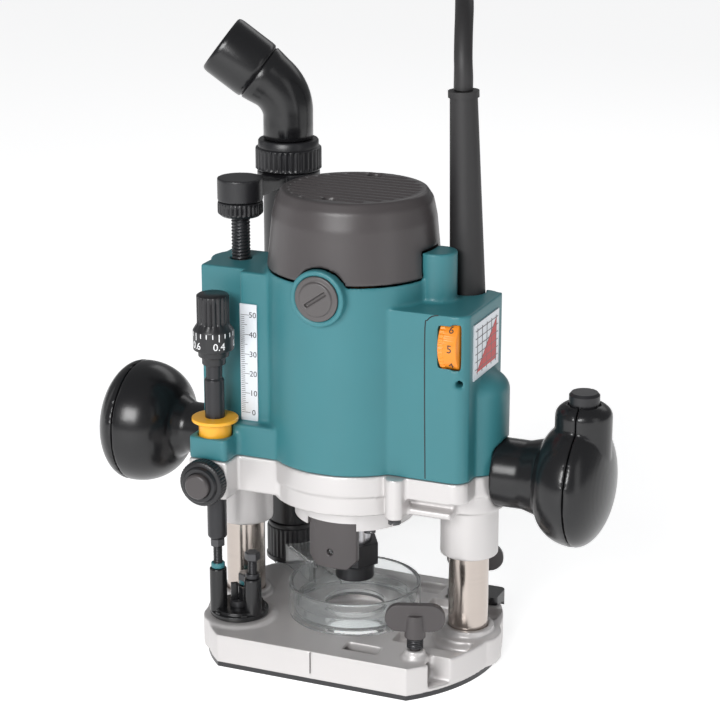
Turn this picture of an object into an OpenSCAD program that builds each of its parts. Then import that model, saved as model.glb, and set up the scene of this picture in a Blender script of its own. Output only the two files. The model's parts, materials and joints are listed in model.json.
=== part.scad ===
// Plunge router: a motor unit that slides on two columns above a round base.
// Frame: origin on the spindle axis in the plane of the base's sole, +X towards the
// right handle, +Y towards the back, +Z up. Lengths are drawn in millimetres for a base of
// radius base_r, and size_factor brings the whole machine to its real size at the end.

/* [Size] */
// Factor that makes the depth scale's ten-millimetre divisions ten millimetres apart
size_factor = 1.055; // [1:0.005:1.08]

/* [Base] */
// Radius of the round base
base_r = 71.5; // [70:0.5:76]
// Distance from the spindle axis to the flat front and back edges
base_flat = 53; // [52:0.5:56]
// Height of the top of the cast base
base_top = 16; // [15.5:0.5:17]
// Thickness of the black slip plate under the base
plate_t = 2.3; // [2:0.1:3]
// Radius of the opening that the cutter passes through
opening_r = 15; // [14:0.5:18]

/* [Columns] */
// Distance from the spindle axis to each column axis
column_x = 58.1; // [57.6:0.1:58.6]
// Radius of a guide column
column_r = 9.4; // [9:0.1:9.6]
// Radius of the sleeve that runs on a column
sleeve_r = 13.6; // [13.4:0.1:14]
// Height of the lower end of the sleeves in the shown position
sleeve_bottom = 55.5; // [55.5:0.5:58]

/* [Motor unit] */
// Radius of the motor housing
motor_r = 40.5; // [40:0.1:41]
// Height of the joint between the aluminium bracket and the plastic housing
split_z = 98.5; // [98:0.1:99]
// Height of the joint between the housing and the motor cap
cap_z = 188; // [187:0.5:189]
// Height of the top of the motor cap
cap_top = 224.5; // [223:0.5:226]

/* [Handles] */
// Height of the handles' common axis
handle_z = 97.5; // [97:0.5:98]
// Largest radius of a handle knob
knob_r = 29.7; // [29:0.1:30]

/* [Depth stop] */
// Radius of the stopper pole
pole_r = 4.6; // [4.5:0.05:4.7]
// Radius of the circle that the stop bolts stand on
turret_pitch_r = 10; // [9.5:0.5:10]

/* [Cutter] */
// Real radius of the collet's bore, for an 8 mm shank
shank_r = 4; // [3:0.5:4]

/* [Supply cord] */
// Diameter of the supply cord
cord_d = 8.4; // [8:0.1:8.6]
// Number of turns of cord in the storage coil
coil_turns = 7; // [6:1:8]

/* [Quality] */
// Facets on a full circle
$fn = 72; // [48:8:120]

/* [Hidden] */
collet_bore = shank_r / size_factor;
slack = 0.05;                       // radial running clearance
recess_z = 8;                       // floor of the round recess in the base
recess_r = 29;
rod_y = 39.5;                       // guide rod bores
rod_z = 9.3;
rod_r = 5.1 / size_factor;           // real radius 5.1, for a 10 mm rod
wing_x = 46.9;
screw_angles = [35, 145, 215, 325];  // screws of the slip plate
wing_hub_z = 26.5;
turret_x = -48.5;
turret_y = -27.5;
turret_z = 17.6;                    // underside of the turret disc
post_angles = [216.9, 336.9, 96.9];
pole_x = turret_x + turret_pitch_r * cos(post_angles[0]);
pole_y = turret_y + turret_pitch_r * sin(post_angles[0]);
pole_tip_z = 57.3;
bolt_tops = [57, 51.5, 34];
post_tops = [41.6, 38, 28];
ledge_z = 109.3;
pipe_x = -54.5;
pipe_y = 46;
pipe_top = 229.9;
elbow_angle = 53;
elbow_turn = 18;
elbow_z = 245.6;
bend_r = 20;
socket_r = 12.5;                    // hose socket at the end of the elbow
knob_x = 113;                       // widest plane of the knobs
bush_r = 11;
right_bore_top = 141;               // upper end of the bore that the right column runs into
lever_z = 88;
brush_z = 182.7;
guard_x = 50;
guard_y = 15;
guard_z = 174.5;
guard_len = 96;
dial_x = 57.5;
dial_z = 163;

// Cord route: points chosen by hand, from the guard's end over a hump and down to the coil
cord_r = cord_d / 2;
coil_x = -86;
coil_y = 198;
coil_mean_r = 42;
coil_layers = ceil(coil_turns / 2);
route = [
    [47, 14, 270.4], [47, 14, 276], [46.2, 15, 284], [44, 21, 295], [40.9, 30, 303.5],
    [36.7, 41, 307.5], [32.5, 52, 307], [28.3, 63, 301.5], [24.9, 72, 292.5],
    [22.3, 79, 280], [20.6, 83, 264], [19.8, 85, 245], [19.5, 86, 220], [19.5, 86, 190],
    [19.5, 86, 160], [19.5, 86, 130], [19.5, 86, 100], [19.5, 86, 75], [19.5, 87, 55],
    [19.2, 91, 37], [18.2, 100, 21], [15.5, 112, 10], [10.5, 126, 5], [5, 140, 4.2],
    [0, 154, 4.2], [-6, 168, 4.2], [-14, 182, 4.2], [-24.5, 196, 4.2], [-36.5, 211, 4.2],
    [-45.5, 221.5, 4.2]
];

// ---------- helpers ----------
module real_size() {
    scale(size_factor) children();
}

module tube(ro, ri, z0, z1) {
    translate([0, 0, z0])
        difference() {
            cylinder(r = ro, h = z1 - z0);
            translate([0, 0, -1]) cylinder(r = ri, h = z1 - z0 + 2);
        }
}

module rod(r, z0, z1) {
    translate([0, 0, z0]) cylinder(r = r, h = z1 - z0);
}

module block(x0, x1, y0, y1, z0, z1) {
    translate([x0, y0, z0]) cube([x1 - x0, y1 - y0, z1 - z0]);
}

// A box with its four upright edges rounded
module rounded_block(x0, x1, y0, y1, z0, z1, r) {
    block(x0 + r, x1 - r, y0, y1, z0, z1);
    block(x0, x1, y0 + r, y1 - r, z0, z1);
    for (x = [x0 + r, x1 - r], y = [y0 + r, y1 - r])
        translate([x, y, z0]) cylinder(r = r, h = z1 - z0);
}

// Children turned so that their +Z points along +X or -Y
module facing_x() {
    rotate([0, 90, 0]) children();
}

module facing_front() {
    rotate([90, 0, 0]) children();
}

module knurled(ro, depth, count, z0, z1) {
    difference() {
        rod(ro, z0, z1);
        for (i = [0 : count - 1])
            rotate([0, 0, i * 360 / count])
                translate([ro, 0, z0 - 1])
                    cylinder(r = depth, h = z1 - z0 + 2, $fn = 16);
    }
}

// Solid of revolution through [radius, height] points, closed on the axis
module turned(points) {
    rotate_extrude()
        polygon(concat([[0, points[0][1]]], points, [[0, points[len(points) - 1][1]]]));
}

module base_outline(r, flat) {
    intersection() {
        circle(r = r, $fn = 144);
        square([3 * r, 2 * flat], center = true);
    }
}

// ---------- base ----------
module slip_plate() {
    color("#1c1d1f")
        difference() {
            linear_extrude(height = plate_t) base_outline(base_r - 0.4, base_flat - 0.4);
            translate([0, 0, -1]) cylinder(r = opening_r, h = plate_t + 2);
            for (a = screw_angles)
                rotate([0, 0, a]) translate([50, 0, -1]) cylinder(r = 3.4, h = plate_t + 2);
        }
}

module slip_plate_screws() {
    color("#8d8f92")
        for (a = screw_angles)
            rotate([0, 0, a])
                translate([50, 0, 0.4])
                    difference() {
                        union() {
                            rod(3.3, 0, 1.9);
                            rod(1.9, 0, 6.6);
                        }
                        block(-3, 3, -0.4, 0.4, -1, 0.7);
                    }
}

module rod_channel(side) {
    translate([0, side * rod_y, rod_z]) facing_x() rod(rod_r, 4, 90);
    block(12, 29, side * rod_y - 4, side * rod_y + 4, rod_z, 30);
    block(53, 90, side * rod_y - 5.1, side * rod_y + 5.1, rod_z - 5.1, 30);
}

module base_casting() {
    color("#c9cbcb")
        difference() {
            union() {
                difference() {
                    translate([0, 0, plate_t])
                        linear_extrude(height = base_top - plate_t)
                            base_outline(base_r, base_flat);
                    // shallow pocket round the right column and along the back
                    block(30, 66, -26, 28, base_top - 5, base_top + 1);
                    block(-30, 30, 33, 46, base_top - 5, base_top + 1);
                    // seat of the rear rod clamp
                    block(34.7, 61.3, 30.7, 46.3, base_top - 5.2, base_top + 1);
                }
                for (s = [-1, 1])
                    translate([s * column_x, 0, 0]) {
                        rod(12.4, plate_t, 19.2);
                        rod(16, plate_t, base_top);
                    }
                rod(recess_r + 5, plate_t, base_top);
                translate([turret_x, turret_y, 0]) rod(17.2, plate_t, turret_z - 0.3);
                for (s = [-1, 1])
                    translate([wing_x, s * rod_y, 0]) {
                        rod(6, plate_t, 17.5);
                        rod(4.8, plate_t, s < 0 ? 20.5 : 19.5);
                    }
            }
            for (s = [-1, 1]) {
                rod_channel(s);
                translate([s * column_x, 0, 0]) rod(column_r, 4, 30);
                translate([wing_x, s * rod_y, 0]) rod(2.6, rod_z, 30);
            }
            rod(recess_r, recess_z, 30);
            rod(opening_r, -1, 30);
            translate([turret_x, turret_y, 0]) rod(2.5, 6, 30);
            // centre mark on the front edge
            translate([0, -base_flat, 0]) block(-0.6, 0.6, -0.6, 0.5, plate_t + 1, 30);
            for (a = screw_angles)
                rotate([0, 0, a]) translate([50, 0, 0]) rod(1.9, 0, 7);
        }
}

module left_column() {
    color("#b9a79d")
        translate([-column_x, 0, 0])
            difference() {
                rod(column_r, 4, 145);
                rod(6.9, 22, 150);
            }
}

module right_column() {
    color("#b9a79d")
        translate([column_x, 0, 0])
            difference() {
                rod(column_r, 4, 104);
                rod(6.9, 22, 110);
            }
}

module spring(mean_r, wire_r, z0, z1, turns) {
    for (i = [0 : turns - 1])
        translate([0, 0, z0 + wire_r + i * (z1 - z0 - 2 * wire_r) / (turns - 1)])
            rotate_extrude($fn = 48) translate([mean_r, 0]) circle(r = wire_r, $fn = 16);
    tube(mean_r + 0.25, mean_r - 0.25, z0 + wire_r, z1 - wire_r);
}

module return_springs() {
    color("#9a9c9e") {
        translate([-column_x, 0, 0]) spring(6, 0.7, 22, 181, 14);
        translate([column_x, 0, 0]) spring(6, 0.7, 22, right_bore_top - 0.2, 12);
    }
}

module threaded_rod() {
    color("#6f6b68")
        translate([-column_x, 0, 0]) {
            rod(4.5, 22, 212.5);
        }
}

module limit_nut() {
    color("#232426")
        translate([-column_x, 0, 0])
            difference() {
                knurled(10.7, 0.6, 30, 206, 213);
                rod(4.5 + slack, 200, 220);
            }
}

module dust_arm() {
    color("#26272a")
        difference() {
            union() {
                translate([-column_x, 0, 0]) rod(10.7, 213.3, 224);
                hull() {
                    translate([-column_x, 4, 0]) rod(6.5, 213.5, 222.5);
                    translate([-column_x + 1.7, 22, 0]) rod(6.5, 213.5, 218.8);
                }
                hull() {
                    translate([-column_x + 1.7, 22, 0]) rod(6.5, 213.5, 218.8);
                    translate([pipe_x, pipe_y, 0]) rod(7, 213.5, 218.8);
                }
                translate([pipe_x, pipe_y, 0]) rod(15.2, 213, 219);
            }
            translate([-column_x, 0, 0]) rod(4.5, 200, 219);
            translate([pipe_x, pipe_y, 0]) rod(12.3, 200, 240);
        }
}

module dust_pipe() {
    color("#222326")
        translate([pipe_x, pipe_y, 0])
            difference() {
                union() {
                    tube(12.3, 10.3, 40, pipe_top);
                    tube(10.6, 8.8, 20, 42);
                }
                rod(8.8, 0, 60);
            }
}

module lower_collar() {
    color("#1b1c1e")
        translate([pipe_x, pipe_y, 0])
            difference() {
                union() {
                    knurled(12.6, 0.5, 32, 21, 36);
                    rod(13, 18.5, 21);
                    rod(11.8, 36, 38.5);
                }
                rod(10.6 + slack, 0, 60);
            }
}

module upper_collar() {
    color("#1b1c1e")
        translate([pipe_x, pipe_y, 0])
            difference() {
                union() {
                    knurled(16, 0.6, 40, 219.3, 230.3);
                    rod(14.6, 230.3, 234);
                }
                rod(12.3 + slack, 200, pipe_top + 0.3);
                rod(11.2 + slack, 220, 250);
            }
}

// The elbow turns on the pipe's axis; its socket leans over by elbow_angle
module dust_elbow() {
    color("#222326")
        translate([pipe_x, pipe_y, 0]) {
            tube(11.2, 9.4, pipe_top + 0.3, 236);
            tube(12.3, 9.4, 234.3, elbow_z + 0.5);
            translate([0, 0, elbow_z])
                rotate([0, 0, elbow_turn])
                    translate([-bend_r, 0, 0]) {
                        rotate([90, 0, 0])
                            rotate_extrude(angle = elbow_angle)
                                translate([bend_r, 0])
                                    difference() {
                                        circle(r = 12.2);
                                        circle(r = 9.5);
                                    }
                        rotate([0, -elbow_angle, 0])
                            translate([bend_r, 0, 0]) {
                                tube(12.3, 9.4, -0.5, 8);
                                tube(15, 9.4, 7, 9);
                                tube(15, socket_r, 8.5, 30);
                            }
                    }
        }
}

module chip_deflector() {
    color([0.85, 0.86, 0.86, 0.4])
        difference() {
            union() {
                rod(31.8, base_top, 31.5);
                hull() {
                    translate([pipe_x * 0.5, pipe_y * 0.5, 0]) rod(9, base_top, 30);
                    translate([pipe_x, pipe_y, 0]) rod(9, base_top, 30);
                }
                translate([pipe_x, pipe_y, 0]) rod(10.4, base_top, 18.2);
            }
            rod(recess_r + 0.7, 0, 40);
            hull() {
                translate([pipe_x * 0.4, pipe_y * 0.4, 0]) rod(7, base_top + 2, 28);
                translate([pipe_x, pipe_y, 0]) rod(7, base_top + 2, 28);
            }
            translate([pipe_x, pipe_y, 0]) {
                tube(14, 8.7, 18.2, 60);
                rod(8.7, 19.9, 60);
            }
        }
}

// ---------- turret ----------
module turret() {
    color("#1d1e20")
        translate([turret_x, turret_y, 0])
            difference() {
                union() {
                    rod(14, turret_z, turret_z + 2.6);
                    rod(12.6, turret_z, turret_z + 4);
                    for (i = [0 : 2])
                        rotate([0, 0, post_angles[i]])
                            translate([turret_pitch_r - 0.2, 0, 0])
                                rod(4.1, turret_z, post_tops[i]);
                }
                rod(2.5 + slack, 0, 60);
                rod(4.6, turret_z + 3, 60);
                for (i = [0 : 2])
                    rotate([0, 0, post_angles[i]])
                        translate([turret_pitch_r, 0, 0])
                            rod(2.2 + slack, turret_z + 4, 60);
            }
}

module turret_screw() {
    color("#3a3b3d")
        translate([turret_x, turret_y, 0]) {
            rod(2.5, 6, turret_z + 4);
            difference() {
                rod(4.4, turret_z + 3.1, turret_z + 6.5);
                block(-5, 5, -0.5, 0.5, turret_z + 5.3, 40);
            }
        }
}

module stop_bolt(i) {
    color("#2a2b2d") translate([turret_x, turret_y, 0]) rotate([0, 0, post_angles[i]])
        translate([turret_pitch_r, 0, 0]) {
            rod(2.2, turret_z + 4.4, bolt_tops[i] - 1);
            translate([0, 0, bolt_tops[i] - 4]) cylinder(r = 3.7, h = 4, $fn = 6);
            rod(3.3, post_tops[i] + 0.2, post_tops[i] + 2.6);
        }
}

module stop_bolt_tall() {
    stop_bolt(0);
}

module stop_bolt_middle() {
    stop_bolt(1);
}

module stop_bolt_short() {
    stop_bolt(2);
}

// ---------- guide rod clamps ----------
module wing_bolt(side) {
    translate([wing_x, side * rod_y, 0]) {
        rod(2.5, rod_z + rod_r + 0.3, 30);
        rotate([0, 0, 20])
            difference() {
                union() {
                    translate([0, 0, wing_hub_z])
                        cylinder(r1 = 5, r2 = 4, h = 11, $fn = 48);
                    for (s = [-1, 1])
                        translate([s * 7.2, 1.9, 36])
                            rotate([90, 0, 0])
                                cylinder(r = 6.6, h = 3.8);
                    block(-7.2, 7.2, -1.9, 1.9, 29.4, 42.6);
                }
            }
    }
}

module front_wing_bolt() {
    color("#3b3a3d") wing_bolt(-1);
}

module rear_wing_bolt() {
    color("#3b3a3d") wing_bolt(1);
}

module wing_bolt_springs() {
    color("#4a4a4c")
        for (s = [-1, 1])
            translate([wing_x, s * rod_y, 0])
                spring(3.4, 0.45, s < 0 ? 20.6 : 19.8, wing_hub_z - 0.2, 5);
}

module rear_rod_clamp() {
    color("#1b1c1e")
        difference() {
            rounded_block(35, 61, 31, 46, base_top - 4.9, 19.4, 3);
            translate([wing_x, rod_y, 0]) rod(6.2, 0, 40);
            translate([0, rod_y, rod_z]) facing_x() rod(rod_r + 0.3, 0, 90);
            translate([column_x, 0, 0]) rod(16.5, 0, 40);
            rod(recess_r + 5.3, 0, 40);
        }
}

// ---------- motor unit ----------
module tower_outline(grow) {
    translate([-column_x, 0]) circle(r = 14.2 + grow);
    translate([-70 - grow, -19 - grow]) square([39 + grow, 34 + 2 * grow]);
    translate([-47.5 - grow, -24.2 - grow]) square([16.5 + grow, 30 + grow]);
}

module right_outline(grow) {
    translate([24, -28.8 - grow]) square([35 + grow, 48 + 2 * grow]);
    translate([50, -24 - grow]) square([16 + grow, 42 + 2 * grow]);
    translate([59 + grow, -22 - grow + 0.2]) circle(r = 7);
    translate([59 + grow, 13 + grow]) circle(r = 7);
}

module low_outline() {
    circle(r = motor_r, $fn = 120);
    tower_outline(0);
    right_outline(0);
    translate([-47.5, -31]) square([21.5, 20]);
    translate([-66, -43]) square([19.5, 30]);
    translate([column_x, 0]) circle(r = 17.6);
}

// Seats that the handles' necks fit into
module handle_joints() {
    translate([0, 0, handle_z]) facing_x() rod(16.2, 72.2, 90);
    translate([0, 0, handle_z]) rotate([0, -90, 0]) rod(12.9, 71.6, 90);
}

module motor_housing() {
    color("#2c8a8f")
        difference() {
            union() {
                rod(motor_r, split_z + 0.2, cap_z);
                translate([0, 0, split_z + 0.2]) linear_extrude(height = 78.8) {
                    right_outline(0);
                }
                translate([0, 0, split_z + 0.2]) linear_extrude(height = 87) tower_outline(0);
                // ledge that carries the stopper pole
                rounded_block(-66, -46.5, -43, -12, split_z + 0.2, ledge_z, 2.5);
                block(-50, -26, -31, -10, split_z + 0.2, 114);
                // round tower over the right column
                translate([column_x, 0, 0]) {
                    rod(17.6, split_z + 0.2, 136);
                    translate([0, 0, 136]) scale([1, 1, 0.6]) sphere(r = 17.6);
                }
                // upright rib beside the motor cap
                translate([42, -3, 0]) rod(9, 170, 200);
                // bosses round the brush caps
                for (s = [-1, 1])
                    translate([0, 0, brush_z]) rotate([s * 90, 0, 0]) rod(13, 24, 43.6);
            }
            // motor space
            rod(37.6, split_z, cap_z + 1);
            rod(motor_r - 1.4, cap_z - 3, cap_z + 30);
            // left tower: column, rod and spring
            translate([-column_x, 0, 0]) {
                rod(bush_r + 0.4, split_z - 1, 181);
                rod(4.5 + 0.6, 170, 200);
            }
            // right tower: column and spring
            translate([column_x, 0, 0]) rod(bush_r + 0.4, split_z - 1, right_bore_top);
            // switch space behind the speed dial
            block(34, 62.5, -24, 15.5, 147, 171);
            // stopper pole and its pointer ring
            translate([pole_x, pole_y, 0]) {
                rod(pole_r + 0.2, 90, 130);
                rod(8.1, ledge_z - 4, 130);
                rod(10.2, 116, 190);
            }
            // scale recess
            block(-47.5, -38.2, -24.9, -23.6, 110, 171);
            // speed dial slot
            translate([dial_x, -19, dial_z]) facing_x() rod(13.6, -5.2, 5.2);
            // chart recess
            block(65.6, 67, -20.5, 12.5, 145.5, 172);
            // cord entry
            translate([guard_x, guard_y, 0]) rod(4.4, 168, 180);
            // joints with the handles and room for the cord guard
            handle_joints();
            cord_guard_place() rod(8.6, 0.1, 30);
            // brushes
            for (s = [-1, 1])
                translate([0, 0, brush_z]) rotate([s * 90, 0, 0]) {
                    rod(9.2, 20, 50);
                    rod(10.6, 41.6, 50);
                }
            housing_screw_places() rod(1.7, -12, 2);
        }
}

module motor_cap() {
    color("#4b494b")
        difference() {
            union() {
                translate([0, 0, cap_z + 0.2])
                    cylinder(r1 = 40.3, r2 = 37.9, h = 24.3, $fn = 120);
                translate([0, 0, cap_z + 24.4])
                    cylinder(r1 = 37.9, r2 = 36.2, h = 8, $fn = 120);
                translate([0, 0, cap_z + 32.3])
                    cylinder(r1 = 36.2, r2 = 33.4, h = cap_top - cap_z - 32.3, $fn = 120);
            }
            // hollow, with a seat for the upper bearing
            difference() {
                rod(34.5, cap_z - 1, cap_z + 31.5);
                rod(14, cap_z + 9, cap_z + 40);
            }
            rod(11, cap_z + 8, cap_z + 17.2);
            rod(6, cap_z + 17, cap_z + 19);
            // clearance round the rib and the brush bosses of the housing
            translate([42, -3, 0]) rod(9.3, cap_z - 1, 200.3);
            for (s = [-1, 1])
                translate([0, 0, brush_z]) rotate([s * 90, 0, 0]) rod(13.3, 20, 46);
            // air slots
            for (i = [-5 : 5], reach = [sqrt(900 - 27 * i * i)])
                translate([0, i * 5.2, 0])
                    block(-reach, reach, -1.1, 1.1, cap_top - 1.6, cap_top + 1);
            for (p = cap_screw_xy) translate([p[0], p[1], 0]) {
                rod(3.4, cap_top - 4, cap_top + 1);
                rod(1.7, cap_z, cap_top);
            }
        }
}

cap_screw_xy = [[-2, -23.4], [-2, 28.6]];

module housing_screw_places() {
    // pan heads on the right housing's front
    translate([62, -28.2, 146]) facing_front() children();
}

module screw(r, head_r, length) {
    difference() {
        union() {
            rod(head_r, 0, 2);
            rod(r, -length, 0.5);
        }
        block(-head_r, head_r, -0.45, 0.45, 1, 3);
        block(-0.45, 0.45, -head_r, head_r, 1, 3);
    }
}

module housing_screws() {
    color("#2b2b2d") {
        for (p = cap_screw_xy) translate([p[0], p[1], cap_top - 3.9]) screw(1.6, 3.1, 12);
        for (a = [70, 190, 310])
            rotate([0, 0, a]) translate([24, 0, 67.2]) rotate([180, 0, 0]) screw(1.6, 2.8, 12);
        translate([33, -31, 78.8]) rotate([180, 0, 0]) screw(1.6, 3, 12);
    }
}

module brush_caps() {
    color("#2e2f31")
        for (s = [-1, 1])
            translate([0, 0, brush_z]) rotate([s * 90, 0, 0])
                difference() {
                    union() {
                        rod(10.4, 41.7, 44);
                        rod(8.9, 33, 43);
                        rod(7.8, 43, 45);
                    }
                    rotate([0, 0, 35]) block(-6, 6, -0.9, 0.9, 43.4, 46);
                }
}

module carbon_brushes() {
    color("#2a2a2b")
        for (s = [-1, 1])
            translate([0, 0, brush_z]) rotate([s * 90, 0, 0]) {
                block(-3.2, 3.2, -5, 5, 12.3, 26);
                rod(3, 26, 33);
            }
}

module motor_bracket() {
    color("#c6c8c9")
        difference() {
            union() {
                rod(39.4, 79, split_z);
                // flat band under the housing
                translate([0, 0, 88.6]) linear_extrude(height = split_z - 88.6) low_outline();
                // pole block
                rounded_block(-66, -46.5, -43, -12, 80, split_z, 2.5);
                block(-50, -26, -31, -10, 81, split_z);
                // lip and web of the right arm
                block(30, 58, -25.5, 16, 79.5, 83);
                block(30, 58, -20, 14, 79.5, split_z);
                rounded_block(28.5, 37, -34.5, -20, 79, split_z, 3.5);
                block(-58, -30, -16, 15, 80, split_z);
                for (s = [-1, 1])
                    translate([s * column_x, 0, 0]) {
                        rod(sleeve_r, sleeve_bottom, split_z);
                        rod(16.4, 79.5, split_z);
                    }
            }
            // fan space and bearing seat
            rod(35.6, 83, split_z + 1);
            rod(16, 60, 81);
            rod(12, 60, 90);
            for (s = [-1, 1]) translate([s * column_x, 0, 0]) rod(bush_r, 50, 110);
            translate([pole_x, pole_y, 0]) rod(pole_r + slack, 60, 120);
            translate([pole_x, -50, 89]) rotate([-90, 0, 0]) rod(4.4, 0, 12);
            for (a = [70, 190, 310]) rotate([0, 0, a]) translate([24, 0, 0]) rod(1.6, 60, 81);
            translate([33, -31, 0]) rod(1.6, 60, 92);
            handle_joints();
            // hollow underside, open to the turret's bolts, with a boss round the pole
            difference() {
                block(-64, -34, -28.5, -14, 60, 87);
                translate([pole_x, pole_y, 0]) rod(7.6, 50, 100);
            }
        }
}

module bearing_retainer() {
    color("#d2d3d4")
        difference() {
            rod(28.5, 67.6, 78.9);
            rod(16, 69.3, 80);
            rod(13, 60, 80);
            // notch that the shaft lock slides in
            block(-13.2, 11.8, -40, -14, 60, 71.2);
            block(-9.3, 8.3, -16, -8, 60, 69.25);
            for (a = [70, 190, 310])
                rotate([0, 0, a]) translate([24, 0, 0]) {
                    rod(1.7, 60, 80);
                }
        }
}

module lower_bearing() {
    color("#b5b7ba") tube(15.95, 7.5 + slack, 69.3, 80.9);
}

module upper_bearing() {
    color("#b5b7ba") tube(10.95, 5 + slack, 196.2, 205);
}

module stator() {
    color("#7d5a3c")
        difference() {
            union() {
                rod(37.4, 112, 158);
                tube(35, 26, 104, 166);
            }
            rod(23, 100, 170);
            for (s = [-1, 1]) block(-40, 40, s * 34 - 4, s * 34 + 4, 100, 111.9);
        }
}

module column_bushes() {
    color("#b08d57")
        for (s = [-1, 1])
            translate([s * column_x, 0, 0]) {
                tube(bush_r, column_r + slack, sleeve_bottom + 0.5, sleeve_bottom + 14);
                tube(bush_r, column_r + slack, split_z - 15, split_z - 1);
            }
}

module power_switch() {
    color("#2b2c30") rounded_block(90, 106, -8, 8, 88, 108, 2);
}

module cord_guard_place() {
    translate([guard_x, guard_y, guard_z]) rotate([0.6, -1.8, 0]) children();
}

module cord_guard() {
    color("#343336")
        cord_guard_place()
            difference() {
                union() {
                    translate([0, 0, 0.2]) cylinder(r1 = 8.3, r2 = 6.3, h = guard_len - 3);
                    rod(7.1, guard_len - 3.4, guard_len - 0.4);
                }
                translate([0, 0, 1]) cylinder(r = cord_r + 0.1, h = guard_len + 10);
            }
}

module depth_scale() {
    color("#cfd2d6") block(-47.2, -38.6, -24.6, -23.7, 110.3, 170.7);
}

module speed_chart() {
    color("#dfe1e4") block(65.7, 66.5, -20.2, 12.2, 145.8, 171.7);
}

// ---------- handles ----------
// Half profile of a knob as [radius, distance along its axis]
function arc(c, a, b, t0, t1, n) =
    [for (i = [0 : n]) let (t = t0 + (t1 - t0) * i / n) [c[0] + a * cos(t), c[1] + b * sin(t)]];

left_inner_points = concat([[12.6, 71.8], [12.4, 86]],
    arc([12.4, knob_x], knob_r - 12.4, 22, -80, 0, 12));
left_outer_points = arc([0, knob_x + 2.2], knob_r, 15, 0, 90, 12);
right_inner_points = concat([[16, 72.4], [16, 86]],
    arc([16, knob_x - 1.5], knob_r - 16, 17.5, -80, 0, 12));
right_outer_points = arc([0, knob_x - 0.9], knob_r, 14.2, 0, 90, 12);

module left_handle_inner() {
    color("#242527")
        translate([0, 0, handle_z]) rotate([0, -90, 0])
            difference() {
                turned(concat(left_inner_points, [[knob_r, knob_x + 2]]));
                turned([[23, 102], [25.5, knob_x + 3]]);
                rod(3, 60, 120);
            }
}

module left_handle_outer() {
    color("#242527")
        translate([0, 0, handle_z]) rotate([0, -90, 0])
            difference() {
                turned(left_outer_points);
                turned([[25, knob_x + 2], [24, knob_x + 7], [14, knob_x + 12]]);
            }
}

module right_horn(x0, x1, r) {
    translate([(x0 + x1) / 2, 0, 0])
        intersection() {
            union() {
                rod(r, 100, 130);
                translate([0, 0, 130]) scale([1, 1, 0.55]) sphere(r = r);
            }
            block(x0 - (x0 + x1) / 2, x1 - (x0 + x1) / 2, -40, 40, 90, 150);
        }
}

module right_handle_inner() {
    color("#242527")
        difference() {
            union() {
                translate([0, 0, handle_z]) rotate([0, 90, 0])
                    turned(concat(right_inner_points, [[knob_r, knob_x - 1.1]]));
                intersection() {
                    translate([112, 0, 0]) right_horn(-13, 13, 13);
                    block(90, knob_x - 1.1, -40, 40, 90, 150);
                }
            }
            translate([0, 0, handle_z]) rotate([0, 90, 0])
                turned([[14, 78], [13.5, 91], [22, 101], [25.5, knob_x]]);
            translate([112, 0, 0]) rod(7.2, 110, 150);
            translate([106, 0, 98]) rotate([-90, 0, 0]) rod(8.2, 15, 40);
        }
}

module right_handle_outer() {
    color("#242527")
        difference() {
            union() {
                translate([0, 0, handle_z]) rotate([0, 90, 0]) turned(right_outer_points);
                intersection() {
                    translate([112, 0, 0]) right_horn(-13, 13, 13);
                    block(knob_x - 0.9, 140, -40, 40, 90, 150);
                }
            }
            translate([0, 0, handle_z]) rotate([0, 90, 0])
                turned([[25.5, knob_x - 1], [24, knob_x + 6], [14, knob_x + 10]]);
            translate([112, 0, 0]) rod(7.2, 110, 150);
            translate([106, 0, 98]) rotate([-90, 0, 0]) rod(8.2, 15, 40);
        }
}

module trigger() {
    color("#1d1e20")
        translate([106, 0, 98]) rotate([-90, 0, 0]) {
            rod(8, 17, 29);
            translate([0, 0, 29]) scale([1, 1, 0.5]) sphere(r = 8);
        }
}

module lock_button() {
    color("#1d1e20")
        translate([112, 0, 0]) {
            rod(7, 128, 139.6);
            translate([0, 0, 139.6]) cylinder(r1 = 7, r2 = 6, h = 1.2);
        }
}

// ---------- rotor ----------
module spindle() {
    color("#a9abad")
        difference() {
            union() {
                rod(7.5, 50, 100);
                rod(10.5, 81.3, 84);
                rod(5.6, 100, 195.9);
                rod(5, 195, 204.5);
            }
            translate([0, 0, 45]) cylinder(r = 5.8, h = 20);
            rod(collet_bore + 0.4, 40, 90);
        }
}

module armature() {
    color("#8a5a33")
        difference() {
            union() {
                rod(22, 112, 158);
                rod(18, 106, 164);
                rod(12, 172, 193);
                rod(9, 160, 175);
            }
            rod(5.6, 100, 200);
        }
}

module fan() {
    color("#d8d4c6")
        difference() {
            union() {
                rod(12, 84.3, 97);
                tube(34.6, 12, 84.3, 86);
                for (a = [0 : 30 : 330])
                    rotate([0, 0, a]) block(11, 34, -0.8, 0.8, 85, 96);
            }
            rod(7.5, 80, 100);
        }
}

module collet() {
    color("#8d8f92")
        difference() {
            union() {
                rod(5.8, 47, 64.8);
                rod(6.6, 36.5, 47);
            }
            rod(collet_bore, 30, 70);
            for (a = [0, 90]) rotate([0, 0, a]) block(-7, 7, -0.4, 0.4, 30, 52);
        }
}

module collet_nut() {
    color("#3b3a3c")
        difference() {
            union() {
                translate([0, 0, 41.5]) cylinder(r = 12, h = 11, $fn = 6);
                rod(9.4, 34, 42);
            }
            rod(7.5, 47, 60);
            rod(6.6, 36.5, 60);
            rod(5.2, 30, 60);
        }
}

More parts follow.
